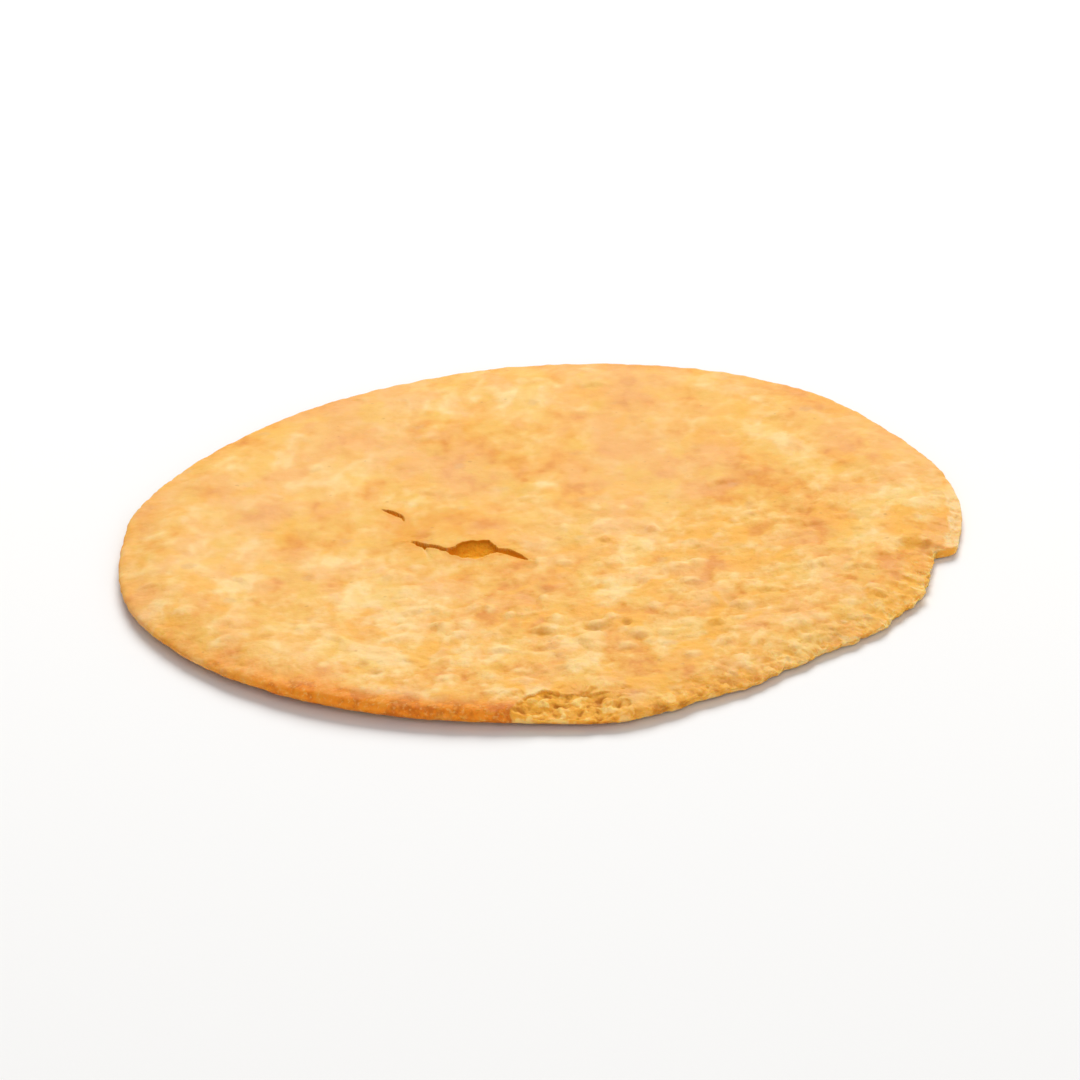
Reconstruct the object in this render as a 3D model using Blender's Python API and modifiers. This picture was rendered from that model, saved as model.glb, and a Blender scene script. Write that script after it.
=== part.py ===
"""A small khakhra: one thin, crisp, roasted flatbread, lying on its underside.

Metres, +Z up. X runs to the right and Y away from the viewer. The origin is at the
middle of the bounding box, on the surface that the bread lies on.

The bread starts as a turned disc. Each of its points is then moved by functions of its
radius and direction: the rolled outline with its flats, the ragged stretch on the right,
the rim that curls up off the table, the thickness, the blisters. Two cutters open the
tear in the top skin and the place at the front where that skin has flaked off.
"""

import math

import bmesh
import bpy
from mathutils import Vector, noise

# --- Driving dimensions ---
RADIUS = 0.045            # the rolled disc, before its flats
THICKNESS = 0.0021        # over most of the bread
THIN_BAND = 0.006         # how far in from the edge the bread thins
ROUND_LENGTH = 0.0013     # how far in from the edge the top starts to turn down
REST_RADIUS = 0.019       # the flat spot that the bread lies on
RAGGED_DEPTH = 0.00055    # how far the broken stretch of the edge wanders
UNDULATION = 0.00011      # the slow unevenness of the top
SEGMENTS = 144            # round the disc

# Outline: direction in degrees, how much the radius changes as a share, width in degrees.
FLATS = (
    (236.0, -0.012, 24.0),   # rolled flat at the front left
    (29.0, -0.025, 15.0),    # and a little at the back right
    (160.0, 0.017, 11.0),    # fuller at the left
    (190.0, 0.008, 12.0),
    (279.0, 0.037, 10.0),    # fuller where the lower layer sticks out at the front
    (309.0, -0.022, 9.0),    # crumbled away
    (333.0, 0.008, 6.0),
)
RAGGED_FROM, RAGGED_TO = 288.0, 347.0   # the stretch of edge that has crumbled
STEP_FROM, STEP_TO, STEP_DEPTH = 332.0, 347.3, 0.0019   # it ends in a step inwards

# The thickness that the edge has in each direction, in degrees and metres.
RIM_THICKNESSES = (
    (0.0, 0.00130),
    (60.0, 0.00150),
    (120.0, 0.00140),
    (180.0, 0.00105),
    (212.0, 0.00120),
    (242.0, 0.00190),
    (270.0, 0.00205),
    (290.0, 0.00125),
    (312.0, 0.00085),
    (340.0, 0.00095),
)

# Curl: how high the edge stands off the table, mean and two waves (height, direction).
CURL_MEAN = 0.00045
CURL_WAVES = ((1, 0.00032, 205.0), (2, 0.00013, 60.0), (3, 0.00006, 100.0))

# Blisters in the top skin: x, y, radius, height.
BLISTERS = (
    (-0.0072, 0.0006, 0.0080, 0.00060),   # the one that has torn
    (0.0085, -0.0240, 0.0040, 0.00022),
    (0.0210, 0.0130, 0.0062, 0.00024),
    (-0.0250, -0.0120, 0.0058, 0.00020),
    (0.0260, -0.0100, 0.0050, 0.00018),
    (-0.0080, 0.0270, 0.0070, 0.00020),
    (-0.0290, 0.0120, 0.0050, 0.00016),
    (-0.0040, -0.0190, 0.0045, 0.00016),
    (0.0080, 0.0060, 0.0055, 0.00015),
)

# The tear: x, y and half width along its path, which runs to the right all the way.
TEAR = (
    (-0.0169, 0.0095, 0.00006),
    (-0.0162, 0.0088, 0.00020),
    (-0.0154, 0.0078, 0.00020),
    (-0.0145, 0.0066, 0.00015),
    (-0.0142, 0.0044, 0.00012),
    (-0.0139, 0.0014, 0.00014),
    (-0.0131, -0.0008, 0.00022),
    (-0.0115, -0.0023, 0.00024),
    (-0.0099, -0.0033, 0.00030),
    (-0.0091, -0.0037, 0.00090),
    (-0.0083, -0.0039, 0.00160),
    (-0.0072, -0.0040, 0.00185),
    (-0.0061, -0.0039, 0.00160),
    (-0.0053, -0.0039, 0.00090),
    (-0.0047, -0.0040, 0.00046),
    (-0.0035, -0.0045, 0.00036),
    (-0.0024, -0.0053, 0.00026),
    (-0.0015, -0.0060, 0.00006),
)
TEAR_DEPTH = 0.00070      # of its narrow ends; the open middle is deeper by a share
TEAR_DEPTH_SHARE = 0.22   # of its half width

# The flaked place at the front edge: direction, half width, depth inwards, depth down.
FLAKE_AT, FLAKE_HALF_WIDTH, FLAKE_INWARDS, FLAKE_DEPTH = 272.3, 0.0066, 0.0050, 0.00085


def smooth(low, high, value):
    """0 below low, 1 above high, and a smooth step between."""
    t = min(1.0, max(0.0, (value - low) / (high - low)))
    return t * t * (3.0 - 2.0 * t)


def turn(a, b):
    """The angle in degrees from b to a, from -180 to 180."""
    return (a - b + 180.0) % 360.0 - 180.0


def wander(at, scale, layer):
    """Smooth noise from about -1 to 1 along a closed circle, for a direction in degrees."""
    a = math.radians(at)
    return noise.noise(Vector((math.cos(a) * scale, math.sin(a) * scale, layer)))


def outline(direction):
    """The bread's radius in a direction given in degrees."""
    share = 1.0 + 0.004 * wander(direction, 1.6, 3.1) + 0.0025 * wander(direction, 6.0, 8.4)
    for at, change, width in FLATS:
        share += change * math.exp(-((turn(direction, at) / width) ** 2))
    radius = RADIUS * share
    inside = smooth(RAGGED_FROM - 2, RAGGED_FROM + 3, direction) * (
        1 - smooth(RAGGED_TO - 2, RAGGED_TO + 1, direction)
    )
    radius += inside * RAGGED_DEPTH * (
        1.1 * wander(direction, 11.0, 1.7) + 0.7 * wander(direction, 27.0, 5.2) - 0.3
    )
    step = smooth(STEP_FROM, STEP_TO - 1.3, direction) * (
        1 - smooth(STEP_TO - 0.8, STEP_TO + 0.9, direction)
    )
    return radius - STEP_DEPTH * step


def curl(share, direction):
    """How high the underside is off the table, at a share of the outline's radius."""
    rest = REST_RADIUS / RADIUS
    rise = max(0.0, (share - rest) / (1.0 - rest)) ** 1.9
    height = CURL_MEAN
    for count, amount, at in CURL_WAVES:
        height += amount * math.cos(math.radians(count * turn(direction, at)))
    return height * rise


def rim_thickness(direction):
    """The thickness of the edge in a direction in degrees, smooth between the given ones."""
    around = RIM_THICKNESSES + ((RIM_THICKNESSES[0][0] + 360.0, RIM_THICKNESSES[0][1]),)
    for (a0, t0), (a1, t1) in zip(around, around[1:]):
        if a0 <= direction <= a1:
            return t0 + (t1 - t0) * smooth(a0, a1, direction)
    return around[0][1]


def thickness(x, y, inwards):
    """The bread's thickness at a point that is this far in from its edge."""
    rim = rim_thickness(math.degrees(math.atan2(y, x)) % 360.0)
    base = rim + (THICKNESS - rim) * smooth(0.0, THIN_BAND, inwards)
    slow = noise.noise(Vector((x / 0.013, y / 0.013, 2.7)))
    slower = noise.noise(Vector((x / 0.030, y / 0.030, 9.1)))
    base += UNDULATION * (slow + 1.1 * slower)
    for bx, by, size, height in BLISTERS:
        near = math.hypot(x - bx, y - by) / size
        if near < 1.0:
            base += height * (1.0 - near * near) ** 2
    return base


def placed(point):
    """Where a point of the turned disc goes on the bread."""
    distance, direction = math.hypot(point.x, point.y), math.degrees(math.atan2(point.y, point.x)) % 360.0
    share = distance / RADIUS
    edge = outline(direction)
    # Near the middle the disc keeps its roundness, so that the rays don't wave there.
    radius = distance * (1.0 + (edge / RADIUS - 1.0) * smooth(0.2, 1.0, share))
    x, y = radius * math.cos(math.radians(direction)), radius * math.sin(math.radians(direction))
    level = point.z / THICKNESS
    height = curl(min(1.0, share), direction) + level * thickness(x, y, edge - radius)
    return Vector((x, y, height))


def top_height(x, y):
    """The height of the top skin at a point."""
    direction = math.degrees(math.atan2(y, x)) % 360.0
    edge, radius = outline(direction), math.hypot(x, y)
    return curl(min(1.0, radius / edge), direction) + thickness(x, y, edge - radius)


def turned_profile():
    """Half the disc's section at +X: out along the top, round the rim, and back below."""
    points = []
    flat = RADIUS - ROUND_LENGTH
    for i in range(15):
        points.append((flat * (i / 14.0) ** 0.92, THICKNESS))
    for i in range(1, 8):
        angle = math.pi * i / 8.0
        out = ROUND_LENGTH * math.sin(angle) ** 0.75
        points.append((flat + out, THICKNESS * (0.5 + 0.5 * math.cos(angle))))
    for i in range(9):
        points.append((flat * (1.0 - i / 8.0), 0.0))
    return points


def new_object(name, mesh, collection, colour=(0.80, 0.44, 0.13), rough=0.62):
    made = bpy.data.objects.new(name, mesh)
    collection.objects.link(made)
    material = bpy.data.materials.new(name)
    material.use_nodes = True
    shader = material.node_tree.nodes["Principled BSDF"]
    shader.inputs["Base Color"].default_value = (*colour, 1.0)
    shader.inputs["Roughness"].default_value = rough
    shader.inputs["Metallic"].default_value = 0.0
    made.data.materials.append(material)
    return made


def turned_disc(collection):
    """The plain disc, by a Screw modifier on its profile, as a mesh of its own."""
    points = turned_profile()
    mesh = bpy.data.meshes.new("profile")
    mesh.from_pydata(
        [(r, 0.0, z) for r, z in points], [(i, i + 1) for i in range(len(points) - 1)], []
    )
    profile = bpy.data.objects.new("profile", mesh)
    collection.objects.link(profile)
    screw = profile.modifiers.new("turn", "SCREW")
    screw.axis = "Z"
    screw.angle = 2.0 * math.pi
    screw.steps = screw.render_steps = SEGMENTS
    screw.use_merge_vertices = True
    screw.merge_threshold = 0.00002
    bpy.context.view_layer.update()
    graph = bpy.context.evaluated_depsgraph_get()
    turned = bpy.data.meshes.new_from_object(profile.evaluated_get(graph))
    bpy.data.objects.remove(profile)
    return turned


def build_bread(collection):
    mesh = turned_disc(collection)
    shape = bmesh.new()
    shape.from_mesh(mesh)
    bmesh.ops.remove_doubles(shape, verts=shape.verts, dist=0.00002)
    for vertex in shape.verts:
        vertex.co = placed(vertex.co)
    bmesh.ops.recalc_face_normals(shape, faces=shape.faces)
    shape.to_mesh(mesh)
    shape.free()
    mesh.shade_smooth()
    return new_object("khakhra", mesh, collection)


def tear_half_width(x):
    """Half the tear's width at a place along it."""
    for (x0, _, w0), (x1, _, w1) in zip(TEAR, TEAR[1:]):
        if x <= x1:
            return w0 + (w1 - w0) * max(0.0, (x - x0) / (x1 - x0))
    return TEAR[-1][2]


def build_tear_cutter(collection):
    """A tapering tube along the tear, squeezed to the depth that it has at each place."""
    curve = bpy.data.curves.new("tear_path", "CURVE")
    curve.dimensions = "3D"
    curve.bevel_depth = 0.001
    curve.bevel_resolution = 3
    curve.use_fill_caps = True
    line = curve.splines.new("POLY")
    line.points.add(len(TEAR) - 1)
    for point, (x, y, half) in zip(line.points, TEAR):
        point.co = (x, y, 0.0, 1.0)
        point.radius = half / 0.001
    path = bpy.data.objects.new("tear_path", curve)
    collection.objects.link(path)
    bpy.context.view_layer.update()
    graph = bpy.context.evaluated_depsgraph_get()
    mesh = bpy.data.meshes.new_from_object(path.evaluated_get(graph))
    bpy.data.objects.remove(path)
    shape = bmesh.new()
    shape.from_mesh(mesh)
    bmesh.ops.remove_doubles(shape, verts=shape.verts, dist=0.000002)
    for vertex in shape.verts:
        x, y, level = vertex.co
        half = max(0.00004, tear_half_width(x))
        deep = min(TEAR_DEPTH, 4.0 * half) + TEAR_DEPTH_SHARE * half
        vertex.co.z = top_height(x, y) + level / half * deep
    bmesh.ops.recalc_face_normals(shape, faces=shape.faces)
    shape.to_mesh(mesh)
    shape.free()
    return new_object("tear_cutter", mesh, collection)


def build_flake_cutter(collection):
    """A rough-skinned blob that takes the top layer off at the front edge."""
    shape = bmesh.new()
    bmesh.ops.create_icosphere(shape, subdivisions=4, radius=1.0)
    angle = math.radians(FLAKE_AT)
    edge = outline(FLAKE_AT)
    x, y = edge * math.cos(angle), edge * math.sin(angle)
    inside = edge - 0.6 * FLAKE_INWARDS
    top = top_height(inside * math.cos(angle), inside * math.sin(angle))
    for vertex in shape.verts:
        p = vertex.co.copy()
        rough = 1.0 + 0.16 * noise.noise(p * 2.3) + 0.07 * noise.noise(p * 6.1)
        vertex.co = Vector(
            (
                p.x * FLAKE_HALF_WIDTH * rough,
                p.y * FLAKE_INWARDS * rough,
                p.z * 0.0016 * rough,
            )
        )
        # A flatter floor, so that the skin comes off in a layer.
        vertex.co.z = max(vertex.co.z, -0.0011 + 0.0002 * noise.noise(p * 4.0))
        vertex.co += Vector((x, y, top - FLAKE_DEPTH + 0.0011))
    bmesh.ops.recalc_face_normals(shape, faces=shape.faces)
    mesh = bpy.data.meshes.new("flake_cutter")
    shape.to_mesh(mesh)
    shape.free()
    return new_object("flake_cutter", mesh, collection)


def cut(target, cutter):
    modifier = target.modifiers.new(cutter.name, "BOOLEAN")
    modifier.operation = "DIFFERENCE"
    modifier.object = cutter
    cutter.hide_render = True
    cutter.display_type = "WIRE"


def stand_at_origin(bread, helpers):
    """Moves the bread so that the middle of its box is over the origin, on the table."""
    bpy.context.view_layer.update()
    graph = bpy.context.evaluated_depsgraph_get()
    points = [Vector(v.co) for v in bread.evaluated_get(graph).data.vertices]
    low = Vector([min(p[k] for p in points) for k in range(3)])
    high = Vector([max(p[k] for p in points) for k in range(3)])
    shift = Vector((-(low.x + high.x) / 2.0, -(low.y + high.y) / 2.0, -low.z))
    for item in (bread, *helpers):
        item.location = shift


def main():
    for old in list(bpy.data.objects):
        bpy.data.objects.remove(old)
    parts = bpy.data.collections.new("khakhra")
    cutters = bpy.data.collections.new("cutters")
    bpy.context.scene.collection.children.link(parts)
    bpy.context.scene.collection.children.link(cutters)
    bread = build_bread(parts)
    tear = build_tear_cutter(cutters)
    flake = build_flake_cutter(cutters)
    cut(bread, tear)
    cut(bread, flake)
    stand_at_origin(bread, (tear, flake))


main()
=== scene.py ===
"""Looks for a small khakhra: the skin, the tear, the flaked edge, the crumb and the roasting.

Lengths are in millimetres here until the mesh is written, in metres. X runs right and Y
away from the viewer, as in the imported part. The bread's skin is laid out flat as one
disc, top face first and then round the rim, and a second disc closes the underside.
Every point of those discs is then placed by the same functions that shaped the part,
with the finer relief added.
"""

import math

import bpy  # noqa: E402
import numpy as np  # noqa: E402
from mathutils import Matrix, Vector, kdtree, noise  # noqa: E402
from mathutils.geometry import delaunay_2d_cdt  # noqa: E402


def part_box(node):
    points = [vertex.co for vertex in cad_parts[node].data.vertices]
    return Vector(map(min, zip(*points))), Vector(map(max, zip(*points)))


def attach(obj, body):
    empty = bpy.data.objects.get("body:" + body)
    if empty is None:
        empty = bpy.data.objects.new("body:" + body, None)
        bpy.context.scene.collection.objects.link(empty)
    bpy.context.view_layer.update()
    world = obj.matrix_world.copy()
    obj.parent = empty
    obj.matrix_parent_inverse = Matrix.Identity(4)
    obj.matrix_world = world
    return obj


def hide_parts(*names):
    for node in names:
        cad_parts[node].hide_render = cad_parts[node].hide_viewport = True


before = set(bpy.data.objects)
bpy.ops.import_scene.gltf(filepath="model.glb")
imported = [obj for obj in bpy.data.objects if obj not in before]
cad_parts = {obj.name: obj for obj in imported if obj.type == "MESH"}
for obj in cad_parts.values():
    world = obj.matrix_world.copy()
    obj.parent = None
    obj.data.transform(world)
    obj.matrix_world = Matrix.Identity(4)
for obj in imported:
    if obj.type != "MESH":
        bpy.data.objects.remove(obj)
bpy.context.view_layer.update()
NODE_BOX = [[1000.0 * v for v in corner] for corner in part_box("khakhra")]

# --- Driving dimensions, as in the part, in millimetres ---
RADIUS = 45.0
THICKNESS = 2.1
THIN_BAND = 6.0
ROUND_LENGTH = 1.3
REST_RADIUS = 19.0
RAGGED_DEPTH = 0.55
UNDULATION = 0.11

FLATS = (
    (236.0, -0.012, 24.0),
    (29.0, -0.025, 15.0),
    (160.0, 0.017, 11.0),
    (190.0, 0.008, 12.0),
    (279.0, 0.037, 10.0),
    (309.0, -0.022, 9.0),
    (333.0, 0.008, 6.0),
)
RAGGED_FROM, RAGGED_TO = 288.0, 347.0
STEP_FROM, STEP_TO, STEP_DEPTH = 332.0, 347.3, 1.9
RIM_THICKNESSES = (
    (0.0, 1.30),
    (60.0, 1.50),
    (120.0, 1.40),
    (180.0, 1.05),
    (212.0, 1.20),
    (242.0, 1.90),
    (270.0, 2.05),
    (290.0, 1.25),
    (312.0, 0.85),
    (340.0, 0.95),
)
CURL_MEAN = 0.45
CURL_WAVES = ((1, 0.32, 205.0), (2, 0.13, 60.0), (3, 0.06, 100.0))
BLISTERS = (
    (-7.2, 0.6, 8.0, 0.50),
    (8.5, -24.0, 4.0, 0.22),
    (21.0, 13.0, 6.2, 0.24),
    (-25.0, -12.0, 5.8, 0.20),
    (26.0, -10.0, 5.0, 0.18),
    (-8.0, 27.0, 7.0, 0.20),
    (-29.0, 12.0, 5.0, 0.16),
    (-4.0, -19.0, 4.5, 0.16),
    (8.0, 6.0, 5.5, 0.15),
)
TEAR = np.array(
    (
        (-16.9, 9.5, 0.05),
        (-16.2, 8.8, 0.19),
        (-15.4, 7.8, 0.22),
        (-14.6, 6.8, 0.12),
        (-14.2, 4.4, 0.03),
        (-14.0, 1.4, 0.03),
        (-13.7, 0.0, 0.10),
        (-13.1, -0.9, 0.22),
        (-12.3, -1.7, 0.25),
        (-11.5, -2.2, 0.24),
        (-10.1, -3.1, 0.18),
        (-9.3, -3.4, 0.85),
        (-8.4, -3.45, 1.62),
        (-7.2, -3.5, 1.88),
        (-6.0, -3.55, 1.66),
        (-5.3, -3.75, 0.88),
        (-4.7, -4.0, 0.26),
        (-3.7, -4.4, 0.44),
        (-2.4, -5.3, 0.36),
        (-1.5, -6.0, 0.05),
    )
)
# Where the top skin ends at the flaked place: x and y along its torn edge.
FLAKE = np.array(
    (
        (-4.9, -46.0),
        (-4.7, -44.4),
        (-3.9, -42.8),
        (-2.6, -41.4),
        (-1.4, -40.6),
        (-0.3, -40.7),
        (0.8, -41.3),
        (2.2, -41.3),
        (3.6, -41.6),
        (5.2, -41.2),
        (6.8, -41.8),
        (8.0, -43.4),
        (8.6, -46.0),
    )
)

# Broad tones: x, y, size and how much paler, or darker below zero.
TONES = (
    (31.0, 2.0, 15.0, -0.11),
    (-20.0, 6.0, 9.0, -0.10),
    (-23.0, -23.0, 11.0, 0.07),
    (-37.0, -4.0, 9.0, 0.03),
    (9.0, 36.0, 14.0, -0.04),
    (25.0, -23.0, 10.0, -0.03),
    (10.5, -28.0, 6.5, 0.17),
    (38.0, -8.0, 4.5, 0.13),
)

# Ochre stains beside the tear: x, y, half length, half width, how strong.
STAINS = (
    (-11.0, 5.6, 2.0, 1.5, 0.55),
    (-9.2, 2.0, 1.5, 1.3, 0.55),
    (-14.5, 0.6, 1.6, 1.7, 0.85),
)

# Puffs of the front right: x, y, half length, half width, height; a pit has a negative one.
PUFFS = (
    (1.05, -21.9, 1.1, 1.4, 0.42),
    (6.9, -23.0, 1.0, 1.2, 0.50),
    (4.5, -27.6, 1.6, 1.6, 0.45),
    (9.7, -27.2, 1.4, 1.5, 0.55),
    (8.4, -24.6, 0.7, 0.9, -0.40),
    (5.4, -25.2, 1.7, 1.0, -0.30),
)

# --- The flat layout of the skin ---
TOP_RADIUS = RADIUS - ROUND_LENGTH   # where the top starts to turn down
WRAP = 3.8                           # length of skin round the rim
SKIN_RADIUS = TOP_RADIUS + WRAP
RING = 1180                          # points round the ring where the underside starts


def smooth(low, high, value):
    t = np.clip((value - low) / (high - low), 0.0, 1.0)
    return t * t * (3.0 - 2.0 * t)


def turn(a, b):
    return (a - b + 180.0) % 360.0 - 180.0


# --- Noise over whole arrays of points ---
def grain(points, size, seed):
    """Smooth noise from about -1 to 1 at (n, 3) points, with features of a size in mm."""
    p = points / size
    cell = np.floor(p).astype(np.int64)
    f = p - cell
    u = f * f * f * (f * (f * 6.0 - 15.0) + 10.0)
    total = np.zeros(len(p))
    for dx in (0, 1):
        for dy in (0, 1):
            for dz in (0, 1):
                x, y, z = cell[:, 0] + dx, cell[:, 1] + dy, cell[:, 2] + dz
                h = (x * 73856093) ^ (y * 19349663) ^ (z * 83492791) ^ (seed * 2654435761)
                h &= 0xFFFFFFFF
                h = ((h ^ (h >> 15)) * 0x2C1B3C6D) & 0xFFFFFFFF
                h = ((h ^ (h >> 12)) * 0x297A2D39) & 0xFFFFFFFF
                h ^= h >> 15
                gx = (h & 1023) / 511.5 - 1.0
                gy = ((h >> 10) & 1023) / 511.5 - 1.0
                gz = ((h >> 20) & 1023) / 511.5 - 1.0
                dot = gx * (f[:, 0] - dx) + gy * (f[:, 1] - dy) + gz * (f[:, 2] - dz)
                wx = u[:, 0] if dx else 1.0 - u[:, 0]
                wy = u[:, 1] if dy else 1.0 - u[:, 1]
                wz = u[:, 2] if dz else 1.0 - u[:, 2]
                total += dot * wx * wy * wz
    return total * 1.7


def layers(points, size, seed, count=3, keep=0.5):
    """Noise of one size with finer noise on it."""
    total, amount = np.zeros(len(points)), 1.0
    for k in range(count):
        total += amount * grain(points, size / 2.0**k, seed + 31 * k)
        amount *= keep
    return total


def flat(x, y, z=0.0):
    return np.stack([x, y, np.broadcast_to(z, np.shape(x))], 1)


# --- The part's own functions ---
def wander(at, scale, layer):
    a = math.radians(at)
    return noise.noise(Vector((math.cos(a) * scale, math.sin(a) * scale, layer)))


def one_outline(direction):
    share = 1.0 + 0.004 * wander(direction, 1.6, 3.1) + 0.0025 * wander(direction, 6.0, 8.4)
    for at, change, width in FLATS:
        share += change * math.exp(-((turn(direction, at) / width) ** 2))
    radius = RADIUS * share
    inside = smooth(RAGGED_FROM - 2, RAGGED_FROM + 3, direction) * (
        1 - smooth(RAGGED_TO - 2, RAGGED_TO + 1, direction)
    )
    radius += inside * RAGGED_DEPTH * (
        1.1 * wander(direction, 11.0, 1.7) + 0.7 * wander(direction, 27.0, 5.2) - 0.3
    )
    step = smooth(STEP_FROM, STEP_TO - 1.3, direction) * (
        1 - smooth(STEP_TO - 0.8, STEP_TO + 0.9, direction)
    )
    return radius - STEP_DEPTH * step


AROUND = np.arange(0.0, 360.0, 0.1)
OUTLINE = np.array([one_outline(a) for a in AROUND])


def broken(direction):
    """1 where the edge has crumbled, 0 where it is the rolled and roasted edge."""
    d = np.asarray(direction) % 360.0
    return smooth(279.0, 284.0, d) * (1 - smooth(346.5, 348.5, d))


def finer_edge(direction):
    """The small raggedness of the edge, beyond what the part has."""
    a = np.radians(direction)
    ring = flat(RADIUS * np.cos(a), RADIUS * np.sin(a))
    rough = 0.20 * layers(ring, 2.3, 11) + 0.08 * grain(ring, 0.7, 12)
    even = 0.05 * grain(ring, 3.0, 13) + 0.03 * grain(ring, 1.1, 14)
    mask = broken(direction)
    flake = smooth(346.0, 349.0, direction % 360.0) + (1 - smooth(3.0, 8.0, direction % 360.0))
    return rough * mask + even * (1 - mask) + 0.08 * np.clip(flake, 0, 1) * grain(ring, 1.2, 15)


EDGE = OUTLINE + finer_edge(AROUND)


def outline(direction):
    return np.interp(direction, AROUND, EDGE, period=360.0)


def curl(share, direction):
    rest = REST_RADIUS / RADIUS
    rise = np.maximum(0.0, (share - rest) / (1.0 - rest)) ** 1.9
    height = np.full(np.shape(direction), CURL_MEAN)
    for count, amount, at in CURL_WAVES:
        height = height + amount * np.cos(np.radians(count * turn(direction, at)))
    return height * rise


def part_noise(x, y, size, layer):
    """The part's own noise, which has to be asked for one point at a time."""
    return np.array([noise.noise(Vector((a / size, b / size, layer))) for a, b in zip(x, y)])


def rim_thickness(direction):
    around = RIM_THICKNESSES + ((RIM_THICKNESSES[0][0] + 360.0, RIM_THICKNESSES[0][1]),)
    result = np.zeros(np.shape(direction))
    for (a0, t0), (a1, t1) in zip(around, around[1:]):
        within = (direction >= a0) & (direction <= a1)
        result = np.where(within, t0 + (t1 - t0) * smooth(a0, a1, direction), result)
    return result


def thickness(x, y, inwards):
    rim = rim_thickness(np.degrees(np.arctan2(y, x)) % 360.0)
    base = rim + (THICKNESS - rim) * smooth(0.0, THIN_BAND, inwards)
    base += UNDULATION * (part_noise(x, y, 13.0, 2.7) + 1.1 * part_noise(x, y, 30.0, 9.1))
    for bx, by, size, height in BLISTERS:
        near = np.hypot(x - bx, y - by) / size
        base += height * np.where(near < 1.0, (1.0 - near * near) ** 2, 0.0)
    return base


# --- The tear: where each point is along and across it ---
class Along:
    """For each point: distance to the path, side (1 behind), its half width, how far along."""

    def __init__(self, x, y, path):
        best = np.full(len(x), 1e9)
        self.side = np.ones(len(x))
        self.half = np.zeros(len(x))
        self.at = np.zeros(len(x))
        self.nx = np.zeros(len(x))
        self.ny = np.ones(len(x))
        done = 0.0
        for (x0, y0, w0), (x1, y1, w1) in zip(path, path[1:]):
            ux, uy = x1 - x0, y1 - y0
            length = math.hypot(ux, uy)
            t = np.clip(((x - x0) * ux + (y - y0) * uy) / length**2, 0.0, 1.0)
            dx, dy = x - (x0 + t * ux), y - (y0 + t * uy)
            d = np.hypot(dx, dy)
            near = d < best
            best = np.where(near, d, best)
            side = np.where(ux * (y - y0) - uy * (x - x0) >= 0.0, 1.0, -1.0)
            self.side = np.where(near, side, self.side)
            self.half = np.where(near, w0 + (w1 - w0) * t, self.half)
            self.at = np.where(near, done + t * length, self.at)
            safe = np.maximum(d, 1e-6)
            self.nx = np.where(near, dx / safe, self.nx)
            self.ny = np.where(near, dy / safe, self.ny)
            done += length
        self.distance = best
        self.length = done


def flake_inside(x, y, level):
    """How far a point is inside the flaked place, in mm. Negative on the skin."""
    edge = np.interp(x, FLAKE[:, 0], FLAKE[:, 1], left=-60.0, right=-60.0)
    p = flat(x, y, 2.0 * (1.0 - level))
    ragged = 0.38 * grain(p, 1.5, 41) + 0.22 * grain(p, 0.6, 42)
    ragged += (1.0 - level) * (0.9 * grain(p, 1.9, 46) - 0.5)
    across = np.minimum(x - FLAKE[0, 0], FLAKE[-1, 0] - x)
    return np.minimum(edge - y, 1.2 * across) + ragged


# --- Points of the flat layout ---
def lattice(step, low, high, seed):
    """Points of a triangular lattice in a box, each moved a little."""
    rng = np.random.RandomState(seed)
    rows = np.arange(math.floor(low[1] / (step * 0.866)), math.ceil(high[1] / (step * 0.866)) + 1)
    cols = np.arange(math.floor(low[0] / step) - 1, math.ceil(high[0] / step) + 1)
    i, j = np.meshgrid(cols, rows)
    x = (i + 0.5 * (j % 2)) * step
    y = j * step * 0.866
    x = x + rng.uniform(-0.22, 0.22, x.shape) * step
    y = y + rng.uniform(-0.22, 0.22, y.shape) * step
    return x.ravel(), y.ravel()


STEPS = (0.42, 0.25, 0.16, 0.095)


def wanted(x, y):
    """Which of STEPS the layout has at a point."""
    radius = np.hypot(x, y)
    direction = np.degrees(np.arctan2(y, x)) % 360.0
    level = np.where(radius > 42.3, 1, 0)
    rough = broken(direction) + smooth(346.0, 349.0, direction) + (1 - smooth(3.0, 8.0, direction))
    level = np.where((radius > 42.0) & (radius < 46.6) & (rough > 0.1), 2, level)
    along = Along(x, y, TEAR)
    away = along.distance - along.half
    level = np.where(away < 2.2, np.maximum(level, 1), level)
    level = np.where(away < 1.2, np.maximum(level, 2), level)
    level = np.where(away < 0.55, 3, level)
    flaked = (x > -6.0) & (x < 9.5) & (y < -38.6)
    level = np.where(flaked, 2, level)
    return level


def layout():
    """All points of the skin's layout, the ring first."""
    a = np.arange(RING) * (2.0 * math.pi / RING)
    xs, ys = [SKIN_RADIUS * np.cos(a)], [SKIN_RADIUS * np.sin(a)]
    reach = SKIN_RADIUS
    boxes = (
        ((-reach, -reach), (reach, reach)),
        ((-reach, -reach), (reach, reach)),
        ((-20.0, -reach), (reach, 13.0)),
        ((-18.5, -8.5), (0.5, 11.5)),
    )
    for number, (step, (low, high)) in enumerate(zip(STEPS, boxes)):
        x, y = lattice(step, low, high, 70 + number)
        kept = (wanted(x, y) == number) & (np.hypot(x, y) < SKIN_RADIUS - 0.6 * step)
        xs.append(x[kept])
        ys.append(y[kept])
    return np.concatenate(xs), np.concatenate(ys)


def under_layout():
    """The points of the underside's layout, without the ring."""
    xs, ys = [], []
    for number, (step, low, high) in enumerate(((0.95, 0.0, 39.5), (0.5, 39.5, 43.35))):
        x, y = lattice(step, (-45, -45), (45, 45), 80 + number)
        radius = np.hypot(x, y)
        kept = (radius >= low) & (radius < high)
        xs.append(x[kept])
        ys.append(y[kept])
    return np.concatenate(xs), np.concatenate(ys)


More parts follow.
